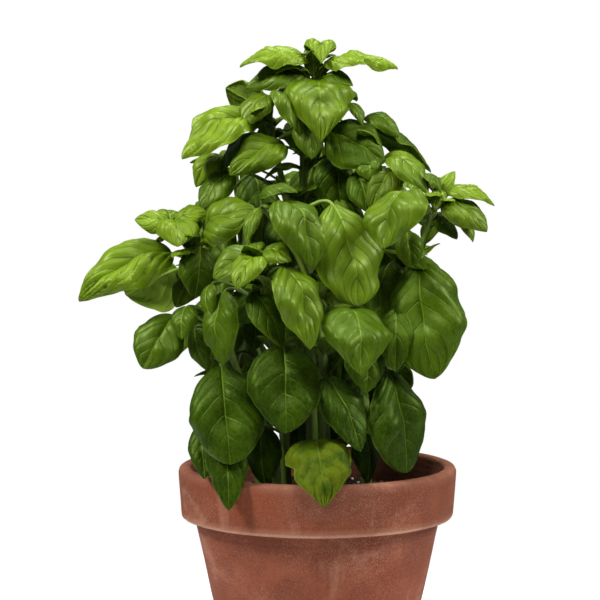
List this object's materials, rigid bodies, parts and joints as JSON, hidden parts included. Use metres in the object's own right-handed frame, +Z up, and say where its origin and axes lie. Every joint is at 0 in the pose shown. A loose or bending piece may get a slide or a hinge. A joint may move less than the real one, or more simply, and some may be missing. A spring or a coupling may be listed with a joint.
{
  "type": "potted basil plant",
  "caption": "Bushy leafy herb on upright stems, growing in soil in a tapered clay pot with a thick collar.",
  "frame": {"origin": "middle of the pot's foot, on the surface that it stands on, on the pot's axis", "axes": "+Z up along the pot's axis, -Y towards the viewer, +X to the viewer's right"},
  "size_m": [0.2183, 0.1831, 0.3583],
  "materials": {
    "pot": "matte",
    "soil": "matte",
    "leafy_stem_centre": "satin",
    "leafy_stem_left": "satin",
    "leafy_stem_front_left": "satin",
    "leafy_stem_front": "satin",
    "leafy_stem_right": "satin",
    "leafy_stem_back_left": "satin",
    "leafy_stem_back": "satin",
    "leafy_stem_back_right": "satin"
  },
  "bodies": {
    "root": {"pot": "pot", "soil": "soil", "leafy_stem_centre": "leafy_stem_centre", "leafy_stem_left": "leafy_stem_left", "leafy_stem_front_left": "leafy_stem_front_left", "leafy_stem_front": "leafy_stem_front", "leafy_stem_right": "leafy_stem_right", "leafy_stem_back_left": "leafy_stem_back_left", "leafy_stem_back": "leafy_stem_back", "leafy_stem_back_right": "leafy_stem_back_right"}
  },
  "joints": []
}
